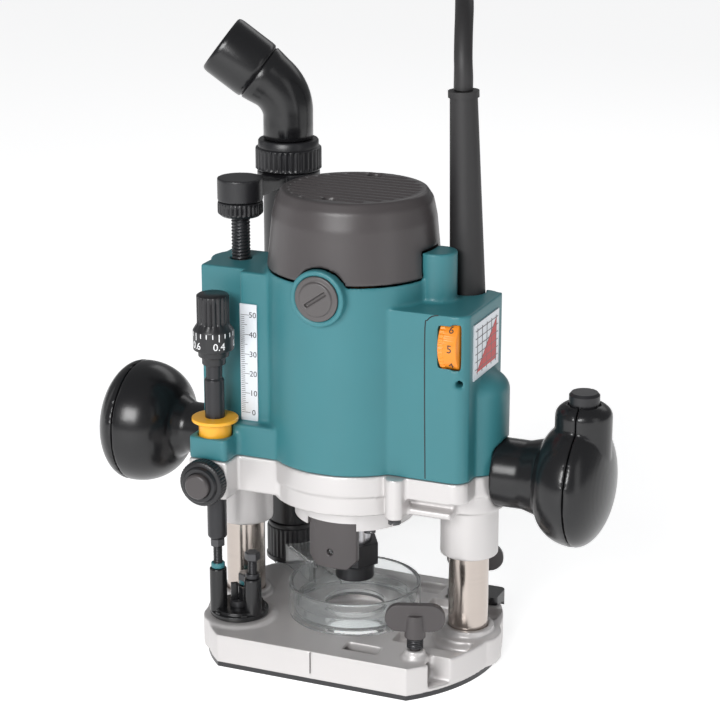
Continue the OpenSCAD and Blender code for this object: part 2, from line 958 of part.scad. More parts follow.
module shaft_lock() {
    color("#3c3b3d")
        difference() {
            union() {
                intersection() {
                    tube(27.2, 24.2, 47.5, 71);
                    block(-12.9, 11.5, -30, -14, 40, 71);
                }
                block(-9, 8, -26, -11.5, 66, 69);
            }
            translate([-1.2, -30, 55.5]) rotate([-90, 0, 0]) rod(1.6, 0, 12);
            translate([-12.9, 0, 47.5]) rotate([90, 45, 0]) block(-3, 3, -3, 3, 10, 40);
            translate([11.5, 0, 47.5]) rotate([90, 45, 0]) block(-3, 3, -3, 3, 10, 40);
            rod(11, 60, 75);
        }
}

// ---------- depth stop ----------
module stopper_pole() {
    color("#1d1d1f")
        translate([pole_x, pole_y, 0]) {
            rod(pole_r, pole_tip_z, 136);
            rod(3.8, 130, 166);
        }
}

module pole_knob() {
    color("#232325")
        translate([pole_x, pole_y, 0])
            difference() {
                union() {
                    rod(5.5, 143, 150);
                    rod(9.5, 150, 159.4);
                    knurled(7.5, 0.6, 18, 159.4, 176.6);
                }
                rod(3.8 + slack, 130, 166.5);
            }
}

module depth_pointer() {
    color("#f2b233")
        translate([pole_x, pole_y, 0])
            difference() {
                union() {
                    rod(7.7, ledge_z - 3.7, 117);
                    rod(10.9, 115.4, 117.4);
                }
                rod(pole_r + slack, 90, 130);
            }
}

module pole_lock_knob() {
    color("#2a2a2c")
        translate([pole_x, 0, 89]) rotate([90, 0, 0])
            difference() {
                union() {
                    knurled(10.7, 0.5, 26, 43.4, 50);
                    rod(8.6, 49, 52);
                    rod(4.3, 39.4, 44);
                }
                rod(6.3, 47, 60);
            }
}

module fast_feed_button() {
    color("#3a3a3d")
        translate([pole_x, 0, 89]) rotate([90, 0, 0]) rod(6.1, 49.8, 54.6);
}

module speed_dial() {
    color("#f29a2e")
        translate([dial_x, -19, dial_z]) facing_x()
            difference() {
                knurled(13.2, 0.4, 40, -4.4, 4.4);
                rod(2, -10, 10);
            }
}

module lock_lever() {
    color("#242527")
        translate([-column_x, 0, lever_z]) rotate([-90, 0, 0]) {
            rod(6, 16.8, 25);
            translate([0, 0, 19])
                hull() {
                    cylinder(r = 5.4, h = 5.5, $fn = 32);
                    translate([0, -36, 0]) cylinder(r = 4, h = 5.5, $fn = 32);
                }
        }
}

// ---------- supply cord ----------
function unit(v) = v / norm(v);
function tangent(i) =
    unit(route[min(i + 1, len(route) - 1)] - route[max(i - 1, 0)]);

module cord_lead() {
    sides = 10;
    n = len(route);
    side_dir = unit(cross([0.35, -0.93, 0], [0, 0, 1]));
    points = [
        for (i = [0 : n - 1])
            let (t = tangent(i), u = unit(side_dir - (side_dir * t) * t), v = cross(t, u))
                for (k = [0 : sides - 1])
                    route[i] + cord_r * (cos(k * 360 / sides) * u + sin(k * 360 / sides) * v)
    ];
    walls = [
        for (i = [0 : n - 2], k = [0 : sides - 1])
            [i * sides + k, (i + 1) * sides + k,
             (i + 1) * sides + (k + 1) % sides, i * sides + (k + 1) % sides]
    ];
    ends = [
        [for (k = [0 : sides - 1]) k],
        [for (k = [sides - 1 : -1 : 0]) (n - 1) * sides + k]
    ];
    color("#1c1c1e") polyhedron(points = points, faces = concat(walls, ends));
}

module cord_coil() {
    color("#1c1c1e")
        translate([coil_x, coil_y, 0])
            tube(coil_mean_r + cord_d, coil_mean_r - cord_d, 0.01, coil_layers * cord_d);
}

module plug() {
    color("#1f1f21")
        translate([coil_x - 8, coil_y - 34, coil_layers * cord_d + 13.2])
            facing_x() {
                rod(6, 0, 26);
                rod(13, 25, 61);
                for (s = [-1, 1])
                    translate([0, s * 9.5, 0]) rod(2.4, 61, 80);
            }
}

real_size() slip_plate();
real_size() base_casting();
real_size() slip_plate_screws();
real_size() left_column();
real_size() right_column();
real_size() return_springs();
real_size() threaded_rod();
real_size() limit_nut();
real_size() dust_arm();
real_size() dust_pipe();
real_size() upper_collar();
real_size() dust_elbow();
real_size() lower_collar();
real_size() chip_deflector();
real_size() turret();
real_size() turret_screw();
real_size() stop_bolt_tall();
real_size() stop_bolt_middle();
real_size() stop_bolt_short();
real_size() front_wing_bolt();
real_size() rear_wing_bolt();
real_size() wing_bolt_springs();
real_size() rear_rod_clamp();
real_size() motor_housing();
real_size() motor_cap();
real_size() housing_screws();
real_size() brush_caps();
real_size() carbon_brushes();
real_size() motor_bracket();
real_size() bearing_retainer();
real_size() lower_bearing();
real_size() upper_bearing();
real_size() stator();
real_size() column_bushes();
real_size() power_switch();
real_size() cord_guard();
real_size() depth_scale();
real_size() speed_chart();
real_size() left_handle_inner();
real_size() left_handle_outer();
real_size() right_handle_inner();
real_size() right_handle_outer();
real_size() spindle();
real_size() armature();
real_size() fan();
real_size() collet();
real_size() collet_nut();
real_size() shaft_lock();
real_size() stopper_pole();
real_size() pole_knob();
real_size() depth_pointer();
real_size() pole_lock_knob();
real_size() fast_feed_button();
real_size() speed_dial();
real_size() lock_lever();
real_size() trigger();
real_size() lock_button();
real_size() cord_lead();
real_size() cord_coil();
real_size() plug();
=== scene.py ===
import json
import math

import bmesh
import bpy
from mathutils import Matrix, Vector

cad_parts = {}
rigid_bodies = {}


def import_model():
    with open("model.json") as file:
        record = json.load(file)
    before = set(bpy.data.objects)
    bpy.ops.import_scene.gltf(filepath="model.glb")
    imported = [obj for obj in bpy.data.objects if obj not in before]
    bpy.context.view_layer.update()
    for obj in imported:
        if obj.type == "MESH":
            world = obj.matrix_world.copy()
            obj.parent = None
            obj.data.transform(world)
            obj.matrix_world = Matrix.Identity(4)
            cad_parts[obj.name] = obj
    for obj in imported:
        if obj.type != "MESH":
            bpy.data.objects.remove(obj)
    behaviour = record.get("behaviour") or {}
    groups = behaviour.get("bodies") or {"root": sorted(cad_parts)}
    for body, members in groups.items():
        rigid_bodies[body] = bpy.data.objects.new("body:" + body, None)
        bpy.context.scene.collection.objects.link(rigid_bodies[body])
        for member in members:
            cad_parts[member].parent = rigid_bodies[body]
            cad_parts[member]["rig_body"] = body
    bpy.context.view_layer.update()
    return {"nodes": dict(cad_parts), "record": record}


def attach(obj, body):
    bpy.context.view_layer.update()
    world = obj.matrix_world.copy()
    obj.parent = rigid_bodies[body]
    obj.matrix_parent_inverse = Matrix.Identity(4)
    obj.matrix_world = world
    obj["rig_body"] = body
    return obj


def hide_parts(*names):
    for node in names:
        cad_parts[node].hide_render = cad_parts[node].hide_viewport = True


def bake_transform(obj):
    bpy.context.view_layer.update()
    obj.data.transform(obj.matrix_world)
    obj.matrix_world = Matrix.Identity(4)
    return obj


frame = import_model()
nodes = frame["nodes"]

# Lengths below are in the drawing's millimetres, as in part.scad, and MM makes them metres.
SIZE_FACTOR = 1.055
MM = 0.001 * SIZE_FACTOR
COLUMN_X = 58.1
POLE = (-56.5, -33.5)
TURRET = (-48.5, -27.5)
PIPE = (-54.5, 46)
WING_X = 46.9
ROD_Y = 39.5
CORD_D = 8.4
HUMP_Z = 307.2
DIAL_Z = 163
# Dust elbow: centre height of its bend, bend radius, lean of the socket and turn about the pipe
ELBOW_Z = 245.6
BEND_R = 20
ELBOW_LEAN = 53
ELBOW_TURN = 18
# Turret posts and bolts, tallest first: bearing from the turret's axis, top of post and of bolt
POST_ANGLES = (216.9, 336.9, 96.9)
POST_TOPS = (41.6, 38, 28)
BOLT_TOPS = (57, 51.5, 34)
POST_REACH = 10
# Storage coil: middle, radius to the middle of its turns, and the turns' start and end in degrees
COIL_CENTRE = (-86, 198, 0)
COIL_R = 42
COIL_START = 46
COIL_END = 360 * 6 + 180
TAIL_R = 34
PLUG_Z = 4 * CORD_D + 13.2
# Camera, matched to the view: place, forward direction and lens on a 36 mm sensor
CAMERA_PLACE = (391.84, -911.44, 451.86)
CAMERA_FORWARD = (-0.37488, 0.87785, -0.29808)
LENS = 111.47
FLOOR_HALF = 4.0


# ---------- camera, lights and floor ----------
def make_camera():
    data = bpy.data.cameras.new("camera")
    data.sensor_width = 36
    data.lens = LENS
    data.clip_start = 0.05
    data.clip_end = 20
    camera = bpy.data.objects.new("camera", data)
    bpy.context.collection.objects.link(camera)
    camera.location = Vector(CAMERA_PLACE) * MM
    camera.rotation_mode = "QUATERNION"
    camera.rotation_quaternion = Vector(CAMERA_FORWARD).to_track_quat("-Z", "Y")
    bpy.context.scene.camera = camera


def area_light(name, place, aim, size, watts, colour=(1, 1, 1)):
    data = bpy.data.lights.new(name, "AREA")
    data.shape = "RECTANGLE"
    data.size, data.size_y = size
    data.energy = watts
    data.color = colour
    light = bpy.data.objects.new(name, data)
    bpy.context.collection.objects.link(light)
    light.location = place
    light.rotation_mode = "QUATERNION"
    light.rotation_quaternion = (Vector(aim) - Vector(place)).to_track_quat("-Z", "Y")


def make_studio():
    world = bpy.data.worlds.new("studio")
    world.use_nodes = True
    background = world.node_tree.nodes["Background"]
    background.inputs["Color"].default_value = (0.97, 0.98, 1.0, 1)
    background.inputs["Strength"].default_value = 0.25
    bpy.context.scene.world = world
    bpy.context.scene.view_settings.view_transform = "Standard"
    middle = (0, 0, 0.13)
    area_light("key", (-0.05, -1.4, 0.8), middle, (0.8, 0.6), 19)
    area_light("fill", (1.3, -0.5, 0.5), middle, (0.5, 1.0), 1.5)
    area_light("back", (0.1, 1.2, 0.9), middle, (1.2, 0.4), 1.5)
    area_light("left_strip", (-1.15, -0.1, 0.4), middle, (0.25, 1.0), 0.6)
    mesh = bpy.data.meshes.new("floor")
    half = FLOOR_HALF
    mesh.from_pydata([(-half, -half, 0), (half, -half, 0), (half, half, 0), (-half, half, 0)],
                     [], [(0, 1, 2, 3)])
    floor = bpy.data.objects.new("floor", mesh)
    bpy.context.collection.objects.link(floor)
    material = bpy.data.materials.new("pale_floor")
    material.use_nodes = True
    shader = material.node_tree.nodes["Principled BSDF"]
    shader.inputs["Base Color"].default_value = (0.8, 0.8, 0.8, 1)
    shader.inputs["Roughness"].default_value = 0.6
    shader.inputs["Emission Color"].default_value = (1, 1, 1, 1)
    shader.inputs["Emission Strength"].default_value = 0.7
    mesh.materials.append(material)


# ---------- materials ----------
def surface(name, colour, metal=0.0, rough=0.45, spread=0.08, grain=0.35, relief=0.02,
            mottle=0.06, wear=None, stretch=(1, 1, 1)):
    """A worn, grained surface. grain is the size of its texture and relief its depth, both
    in millimetres; spread is how much the roughness varies, mottle how much the colour does,
    wear the colour that shows along edges."""
    material = bpy.data.materials.new(name)
    material.use_nodes = True
    tree = material.node_tree
    shader = tree.nodes["Principled BSDF"]
    shader.inputs["Metallic"].default_value = metal
    place = tree.nodes.new("ShaderNodeTexCoord")
    mapping = tree.nodes.new("ShaderNodeMapping")
    mapping.inputs["Scale"].default_value = stretch
    tree.links.new(place.outputs["Object"], mapping.inputs["Vector"])

    def noise(size_mm, detail):
        node = tree.nodes.new("ShaderNodeTexNoise")
        node.inputs["Scale"].default_value = 1000 / size_mm
        node.inputs["Detail"].default_value = detail
        tree.links.new(mapping.outputs["Vector"], node.inputs["Vector"])
        return node.outputs["Fac"]

    fine = noise(grain, 3)
    coarse = noise(24, 4)
    bump = tree.nodes.new("ShaderNodeBump")
    bump.inputs["Strength"].default_value = 0.6
    bump.inputs["Distance"].default_value = relief * 0.001
    tree.links.new(fine, bump.inputs["Height"])
    tree.links.new(bump.outputs["Normal"], shader.inputs["Normal"])
    rougher = tree.nodes.new("ShaderNodeMapRange")
    rougher.inputs["To Min"].default_value = rough - spread
    rougher.inputs["To Max"].default_value = rough + spread
    tree.links.new(coarse, rougher.inputs["Value"])
    tree.links.new(rougher.outputs["Result"], shader.inputs["Roughness"])
    mix = tree.nodes.new("ShaderNodeMix")
    mix.data_type = "RGBA"
    mix.inputs["A"].default_value = (*[c * (1 - mottle) for c in colour], 1)
    mix.inputs["B"].default_value = (*[min(1, c * (1 + mottle)) for c in colour], 1)
    tree.links.new(coarse, mix.inputs["Factor"])
    result = mix.outputs["Result"]
    if wear:
        geometry = tree.nodes.new("ShaderNodeNewGeometry")
        edge = tree.nodes.new("ShaderNodeMapRange")
        edge.inputs["From Min"].default_value = 0.56
        edge.inputs["From Max"].default_value = 0.72
        edge.inputs["To Max"].default_value = 0.45
        tree.links.new(geometry.outputs["Pointiness"], edge.inputs["Value"])
        worn = tree.nodes.new("ShaderNodeMix")
        worn.data_type = "RGBA"
        worn.inputs["B"].default_value = (*wear, 1)
        tree.links.new(edge.outputs["Result"], worn.inputs["Factor"])
        tree.links.new(result, worn.inputs["A"])
        result = worn.outputs["Result"]
    tree.links.new(result, shader.inputs["Base Color"])
    return material


def clear_plastic():
    material = surface("clear_plastic", (0.93, 0.95, 0.95), rough=0.07, spread=0.03, grain=3,
                       relief=0.01, mottle=0.02)
    shader = material.node_tree.nodes["Principled BSDF"]
    shader.inputs["Transmission Weight"].default_value = 0.93
    shader.inputs["IOR"].default_value = 1.3
    return material


TEAL = surface("teal_plastic", (0.036, 0.18, 0.205), rough=0.42, grain=0.5, relief=0.03,
               wear=(0.1, 0.33, 0.36))
GREY = surface("grey_plastic", (0.062, 0.055, 0.056), rough=0.36, grain=0.5, relief=0.03,
               wear=(0.2, 0.19, 0.2))
BLACK = surface("black_plastic", (0.014, 0.014, 0.016), rough=0.36, grain=0.45, relief=0.03,
                wear=(0.07, 0.07, 0.075))
GLOSS_BLACK = surface("gloss_black_plastic", (0.009, 0.009, 0.01), rough=0.24, spread=0.06,
                      grain=0.9, relief=0.012, wear=(0.05, 0.05, 0.055))
WARM_GREY = surface("warm_grey_plastic", (0.085, 0.078, 0.078), rough=0.36, grain=0.5,
                    relief=0.02)
RUBBER = surface("cord_rubber", (0.02, 0.019, 0.02), rough=0.52, grain=0.35, relief=0.03)
CAST = surface("cast_aluminium", (0.62, 0.6, 0.595), metal=0.5, rough=0.43, grain=0.7,
               relief=0.05, mottle=0.03, wear=(0.8, 0.79, 0.79))
COLUMN = surface("column_steel", (0.52, 0.46, 0.42), metal=1.0, rough=0.2, spread=0.06,
                 grain=0.5, relief=0.006, stretch=(1, 1, 14))
STEEL = surface("steel", (0.55, 0.55, 0.57), metal=1.0, rough=0.3, grain=0.4, relief=0.01,
                wear=(0.75, 0.75, 0.76))
BLACK_STEEL = surface("black_steel", (0.035, 0.035, 0.038), metal=0.5, rough=0.33, grain=0.3,
                      relief=0.012, wear=(0.25, 0.25, 0.26))
BRONZE = surface("bronze", (0.55, 0.38, 0.17), metal=1.0, rough=0.4)
COPPER = surface("copper_winding", (0.4, 0.16, 0.06), metal=0.6, rough=0.4, grain=0.9,
                 relief=0.2, stretch=(1, 1, 0.2))
CARBON = surface("carbon", (0.03, 0.03, 0.032), rough=0.6, grain=0.2, relief=0.03)
FAN = surface("fan_plastic", (0.07, 0.07, 0.075), rough=0.5)
YELLOW = surface("yellow_plastic", (0.86, 0.42, 0.03), rough=0.33, grain=0.8,
                 wear=(0.95, 0.6, 0.15))
ORANGE = surface("orange_plastic", (0.86, 0.27, 0.02), rough=0.33, grain=0.8,
                 wear=(0.95, 0.5, 0.15))
LABEL = surface("scale_label", (0.72, 0.75, 0.79), metal=0.35, rough=0.34, grain=1.5,
                relief=0.004)
INK = surface("black_ink", (0.03, 0.03, 0.035), rough=0.5, grain=0.6, relief=0.004)
WHITE_INK = surface("white_ink", (0.85, 0.85, 0.86), rough=0.45, grain=0.6, relief=0.004)
RED_INK = surface("red_ink", (0.62, 0.03, 0.03), rough=0.42, grain=0.6, relief=0.004)
GLASSY = clear_plastic()

FINISH = {
    "slip_plate": BLACK, "cast_aluminium": CAST, "column_steel": COLUMN,
    "spring_steel": STEEL, "black_steel": BLACK_STEEL, "black_plastic": BLACK,
    "gloss_black_plastic": GLOSS_BLACK, "clear_plastic": GLASSY, "teal_plastic": TEAL,
    "grey_plastic": GREY, "yellow_plastic": YELLOW, "orange_plastic": ORANGE,
    "steel": STEEL, "bronze": BRONZE, "copper_winding": COPPER, "carbon": CARBON,
    "fan_plastic": FAN, "scale_label": LABEL, "cord_rubber": RUBBER,
}
SLOT_OF = {s["node"]: s["material_slot"] for s in frame["record"]["subparts"]}


# ---------- building blocks ----------
def finish_piece(name, mesh, body, material, stands_for=(), crease=38):
    """Makes mesh a piece of the machine that moves with body."""
    obj = bpy.data.objects.new(name, mesh)
    bpy.context.collection.objects.link(obj)
    mesh.materials.clear()
    mesh.materials.append(material)
    mesh.polygons.foreach_set("use_smooth", [True] * len(mesh.polygons))
    mesh.set_sharp_from_angle(angle=math.radians(crease))
    if body:
        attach(obj, body)
    if stands_for:
        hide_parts(*stands_for)
    return obj


def piece(name, bm, body, material, stands_for=(), crease=38):
    """Turns a bmesh drawn in millimetres into a piece."""
    bmesh.ops.recalc_face_normals(bm, faces=bm.faces)
    mesh = bpy.data.meshes.new(name)
    bm.to_mesh(mesh)
    bm.free()
    mesh.transform(Matrix.Scale(MM, 4))
    return finish_piece(name, mesh, body, material, stands_for, crease)


def lathe(bm, profile, place=Matrix(), segments=96, ribs=None):
    """Turns [radius, height] points about the local Z axis. ribs = (count, depth, low, high)
    cuts that many grooves into the points between two heights."""
    rings = []
    for r, z in profile:
        if r <= 1e-6:
            rings.append([bm.verts.new(place @ Vector((0, 0, z)))])
            continue
        ring = []
        for i in range(segments):
            a = 2 * math.pi * i / segments
            radius = r
            if ribs and ribs[2] <= z <= ribs[3]:
                radius -= ribs[1] * (0.5 - 0.5 * math.cos(a * ribs[0])) ** 2
            ring.append(bm.verts.new(place @ Vector((radius * math.cos(a), radius * math.sin(a), z))))
        rings.append(ring)
    for low, high in zip(rings, rings[1:]):
        for i in range(segments):
            j = (i + 1) % segments
            corners = [low[i % len(low)], low[j % len(low)], high[j % len(high)], high[i % len(high)]]
            face = list(dict.fromkeys(corners))
            if len(face) > 2:
                bm.faces.new(face)
    return bm


def rounded(profile, radius=0.5, steps=3):
    """The profile with each corner that isn't on the axis rounded."""
    points = [profile[0]]
    for before, corner, after in zip(profile, profile[1:], profile[2:]):
        a, c, b = Vector(before), Vector(corner), Vector(after)
        reach = min(radius, (a - c).length * 0.45, (b - c).length * 0.45)
        start = c + (a - c).normalized() * reach
        end = c + (b - c).normalized() * reach
        for k in range(steps + 1):
            t = k / steps
            points.append(tuple(start * (1 - t) ** 2 + c * 2 * t * (1 - t) + end * t * t))
    points.append(profile[-1])
    return points


def smooth_line(points, step):
    """Catmull-Rom line through points, about step apart."""
    ends = [points[0] * 2 - points[1], *points, points[-1] * 2 - points[-2]]
    line = []
    for a, b, c, d in zip(ends, ends[1:], ends[2:], ends[3:]):
        count = max(1, round((c - b).length / step))
        for k in range(count):
            t = k / count
            line.append(0.5 * (2 * b + (c - a) * t + (2 * a - 5 * b + 4 * c - d) * t * t
                               + (3 * b - a - 3 * c + d) * t ** 3))
    line.append(points[-1])
    return line


def sweep(bm, line, radius, sides=16, up=Vector((0, 0, 1))):
    """A closed round tube along line; radius is a number or a function of the index."""
    rings = []
    side = None
    for i, p in enumerate(line):
        tangent = (line[min(i + 1, len(line) - 1)] - line[max(i - 1, 0)]).normalized()
        if side is None:
            side = tangent.cross(up if abs(tangent.dot(up)) < 0.9 else Vector((0, 1, 0)))
        side = (side - tangent * side.dot(tangent)).normalized()
        other = tangent.cross(side)
        r = radius(i) if callable(radius) else radius
        rings.append([bm.verts.new(p + (side * math.cos(a) + other * math.sin(a)) * r)
                      for a in (2 * math.pi * k / sides for k in range(sides))])
    for low, high in zip(rings, rings[1:]):
        for k in range(sides):
            bm.faces.new([low[k], low[(k + 1) % sides], high[(k + 1) % sides], high[k]])
    bm.faces.new(rings[0][::-1])
    bm.faces.new(rings[-1])
    return bm


def slab(bm, low, high, soft=0.6, place=Matrix(), steps=3):
    """A box between two corners with its edges rounded by soft."""
    low, high = Vector(low), Vector(high)
    made = bmesh.ops.create_cube(bm, size=1)["verts"]
    for v in made:
        v.co = Vector([lo + (hi - lo) * (c + 0.5) for lo, hi, c in zip(low, high, v.co)])
    edges = {e for v in made for e in v.link_edges}
    if soft:
        made = bmesh.ops.bevel(bm, geom=list(edges), offset=soft, segments=steps,
                               affect="EDGES", profile=0.5)["verts"]
    bmesh.ops.transform(bm, matrix=place, verts=made)
    return bm


def softened(name, node, voxel, passes, material=None, crease=60):
    """A copy of a CAD node with every edge rounded, as a moulding or casting has."""
    source = nodes[node]
    obj = bpy.data.objects.new(name, source.data.copy())
    bpy.context.collection.objects.link(obj)
    weld = obj.modifiers.new("weld", "WELD")
    weld.merge_threshold = 1e-6
    remesh = obj.modifiers.new("remesh", "REMESH")
    remesh.mode = "VOXEL"
    remesh.voxel_size = voxel * MM
    relax = obj.modifiers.new("relax", "SMOOTH")
    relax.factor = 0.5
    relax.iterations = passes
    evaluated = obj.evaluated_get(bpy.context.evaluated_depsgraph_get())
    mesh = bpy.data.meshes.new_from_object(evaluated)
    bpy.data.objects.remove(obj)
    slot = SLOT_OF[node]
    return finish_piece(name, mesh, source["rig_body"], material or FINISH[slot], [node], crease)


# ---------- supply cord ----------
def cord_line():
    """The cord's centreline: the route of part.scad, then the turns of its storage coil."""
    route = [
        (47, 14, 270.4), (47, 14, 276), (46.2, 15, 284), (44, 21, 295), (40.9, 30, 303.5),
        (36.7, 41, 307.5), (32.5, 52, 307), (28.3, 63, 301.5), (24.9, 72, 292.5),
        (22.3, 79, 280), (20.6, 83, 264), (19.8, 85, 245), (19.5, 86, 220), (19.5, 86, 190),
        (19.5, 86, 160), (19.5, 86, 130), (19.5, 86, 100), (19.5, 86, 75), (19.5, 87, 55),
        (19.2, 91, 37), (18.2, 100, 21), (15.5, 112, 10), (10.5, 126, 5), (5, 140, 4.2),
        (0, 154, 4.2), (-6, 168, 4.2), (-14, 182, 4.2), (-24.5, 196, 4.2),
        (-36.5, 211, 4.2), (-45.5, 221.5, 4.2),
    ]
    centre = Vector(COIL_CENTRE)
    inner, outer = COIL_R - CORD_D / 2, COIL_R + CORD_D / 2
    layer = [CORD_D * (k + 0.5) for k in range(3)]
    slots = [(outer, layer[0]), (inner, layer[0]), (inner, layer[1]), (outer, layer[1]),
             (outer, layer[2]), (inner, layer[2]), (COIL_R, layer[2] + CORD_D * 0.87)]
    points = [Vector(p) for p in route]
    turning = COIL_START

    def ease(t):
        t = max(0.0, min(1.0, t))
        return t * t * (3 - 2 * t)

    while turning < COIL_END:
        r, z = slots[0]
        for k, (next_r, next_z) in enumerate(slots[1:]):
            share = ease((turning - (360 * (k + 1) - 18 * k - 12)) / 40)
            r += (next_r - slots[k][0]) * share
            z += (next_z - slots[k][1]) * share
        z += (PLUG_Z - z) * ease((turning - COIL_END + 90) / 180)
        a = math.radians(turning)
        points.append(centre + Vector((r * math.cos(a), r * math.sin(a), z)))
        turning += 12
    start_z = slots[-1][1]
    for a in range(180, 271, 15):
        z = start_z + (PLUG_Z - start_z) * ease((a - 90) / 180)
        turn = math.radians(a)
        points.append(centre + Vector((TAIL_R - COIL_R + TAIL_R * math.cos(turn),
                                       TAIL_R * math.sin(turn), z)))
    points.append(points[-1] + Vector((6, 0, 0)))
    line = smooth_line(points, 3)
    return [Vector((p.x, p.y, max(CORD_D / 2, min(HUMP_Z, p.z)))) for p in line]


def make_cord():
    line = cord_line()
    cord = piece("supply_cord", sweep(bmesh.new(), line, CORD_D / 2), None, RUBBER)
    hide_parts("cord_lead", "cord_coil")
    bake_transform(cord)


# ---------- marks ----------
def numeral(text, height, place, bend=None):
    """A printed number as a mesh in millimetres: flat at place, or wrapped round the local
    Z axis at radius bend, centred on local -Y."""
    data = bpy.data.curves.new("numeral", "FONT")
    data.body = text
    data.size = height / 0.7
    data.align_x = "CENTER"
    data.align_y = "CENTER"
    data.extrude = 0.04
    data.resolution_u = 3
    obj = bpy.data.objects.new("numeral", data)
    bpy.context.collection.objects.link(obj)
    mesh = bpy.data.meshes.new_from_object(obj.evaluated_get(bpy.context.evaluated_depsgraph_get()))
    bpy.data.objects.remove(obj)
    bm = bmesh.new()
    bm.from_mesh(mesh)
    for v in bm.verts:
        x, y, z = v.co
        if bend:
            a = x / bend - math.pi / 2
            v.co = Vector(((bend + z) * math.cos(a), (bend + z) * math.sin(a), y))
        v.co = place @ v.co
    bpy.data.meshes.remove(mesh)
    return bm


def join(bm, other):
    """Adds the shapes of other to bm."""
    mesh = bpy.data.meshes.new("part")
    other.to_mesh(mesh)
    other.free()
    bm.from_mesh(mesh)
    bpy.data.meshes.remove(mesh)


def turn_z(degrees):
    return Matrix.Rotation(math.radians(degrees), 4, "Z")


# ---------- depth stop ----------
def post(index):
    """Where a stop bolt of the turret stands."""
    a = math.radians(POST_ANGLES[index])
    return Vector((TURRET[0] + POST_REACH * math.cos(a), TURRET[1] + POST_REACH * math.sin(a), 0))


def threaded(bm, r, low, high, pitch, depth, place, segments=40):
    """A rod with a cut thread between two heights."""
    count = max(4, round((high - low) / pitch * 6))
    rings = []
    for i in range(count + 1):
        z = low + (high - low) * i / count
        ring = []
        for k in range(segments):
            a = 2 * math.pi * k / segments
            phase = (z / pitch - k / segments) % 1
            radius = r - depth * abs(2 * phase - 1)
            ring.append(bm.verts.new(place @ Vector((radius * math.cos(a), radius * math.sin(a), z))))
        rings.append(ring)
    for a, b in zip(rings, rings[1:]):
        for k in range(segments):
            n = (k + 1) % segments
            bm.faces.new([a[k], a[n], b[n], b[k]])
    bm.faces.new(rings[0][::-1])
    bm.faces.new(rings[-1])
    return bm


def make_pole_knob():
    x, y = POLE
    place = Matrix.Translation((x, y, 0))
    profile = rounded([(3.9, 143), (5.5, 143), (5.5, 146.6), (7.2, 147), (7.2, 150), (9.5, 150.4),
                       (9.5, 159.7), (7.6, 162.6)], 0.5)
    profile += [(7.6, 163 + k) for k in range(0, 13, 2)] + [(7.5, 176), (6.7, 176.6), (0, 176.6)]
    bm = lathe(bmesh.new(), profile, place, 108, ribs=(18, 0.75, 162.8, 175.4))
    piece("pole_knob_grip", bm, "pole_knob", BLACK, ["pole_knob"], crease=50)
    marks = bmesh.new()
    for k in range(20):
        long_mark = k % 4 == 0
        at = place @ turn_z(k * 18 + 43)
        slab(marks, (-0.22, -9.57, 156 if long_mark else 157.4), (0.22, -9.4, 159.5), 0, at)
    for k, text in enumerate(("0", "0.2", "0.4", "0.6", "0.8")):
        at = place @ turn_z(43 - 72 * (k - 2)) @ Matrix.Translation((0, 0, 153.4))
        join(marks, numeral(text, 3.4, at, bend=9.53))
    piece("pole_knob_marks", marks, "pole_knob", WHITE_INK)


def make_pole():
    x, y = POLE
    place = Matrix.Translation((x, y, 0))
    profile = rounded([(0, 57.3), (4.1, 57.3), (4.6, 58.2), (4.6, 135.6), (3.8, 136.4),
                       (3.8, 166), (0, 166)], 0.3)
    bm = lathe(bmesh.new(), profile, place, 64)
    piece("pole", bm, "stopper_pole", BLACK_STEEL, ["stopper_pole"])


def make_pointer():
    x, y = POLE
    place = Matrix.Translation((x, y, 0))
    profile = rounded([(4.7, 105.7), (7.2, 105.7), (7.6, 107), (7.7, 114.6), (8.4, 115.2),
                       (10.9, 115.5), (10.9, 117.2), (7.4, 117.4), (4.7, 117.4)], 0.45)
    bm = lathe(bmesh.new(), profile, place, 96)
    piece("pointer_ring", bm, "depth_pointer", YELLOW, ["depth_pointer"])


def make_pole_lock():
    place = Matrix.Translation((POLE[0], 0, 89)) @ Matrix.Rotation(math.pi / 2, 4, "X")
    profile = [(0, 39.4), (4.2, 39.4), (4.3, 43), (9.6, 43.4), (10.9, 44.4)]
    profile += [(11, 45 + k) for k in range(5)] + [(10.6, 49.6), (9.6, 50), (8.8, 50.1)]
    profile += [(8.6, 51.2), (8, 52), (6.35, 52), (6.3, 47.2), (0, 47.2)]
    bm = lathe(bmesh.new(), profile, place, 176, ribs=(44, 0.6, 44.6, 49.2))
    piece("pole_lock_grip", bm, "pole_lock_knob", BLACK, ["pole_lock_knob"], crease=50)
    button = rounded([(0, 49.8), (6.05, 49.8), (6.05, 53.8), (5.2, 54.6), (0, 54.4)], 0.6)
    piece("fast_feed_cap", lathe(bmesh.new(), button, place, 64), "fast_feed_button", GREY,
          ["fast_feed_button"])


def make_turret():
    place = Matrix.Translation((*TURRET, 0))
    disc = rounded([(4.7, 20.7), (4.7, 17.7), (13.6, 17.7), (14, 18.2), (14, 20), (12.7, 20.4),
                    (12.4, 21.6), (4.7, 21.6), (4.7, 20.7)], 0.3)
    bm = lathe(bmesh.new(), disc, place, 96)
    for k, top in enumerate(POST_TOPS):
        wall = rounded([(2.3, 21.5), (2.3, top - 0.3), (2.6, top), (3.7, top), (4.1, top - 0.5),
                        (4.1, 20)], 0.25)
        lathe(bm, wall, Matrix.Translation(post(k)), 48)
        slab(bm, (3.2, -0.8, 20.5), (6.6, 0.8, top * 0.6 + 8), 0.3,
             place @ turn_z(POST_ANGLES[k]) @ Matrix.Translation((-2.6, 0, 0)))
    for k in range(6):
        slab(bm, (11.6, -1.5, 19.6), (13.7, 1.5, 21.2), 0.35, place @ turn_z(60 * k + 6))
    piece("turret_casting", bm, "turret", GLOSS_BLACK, ["turret"])


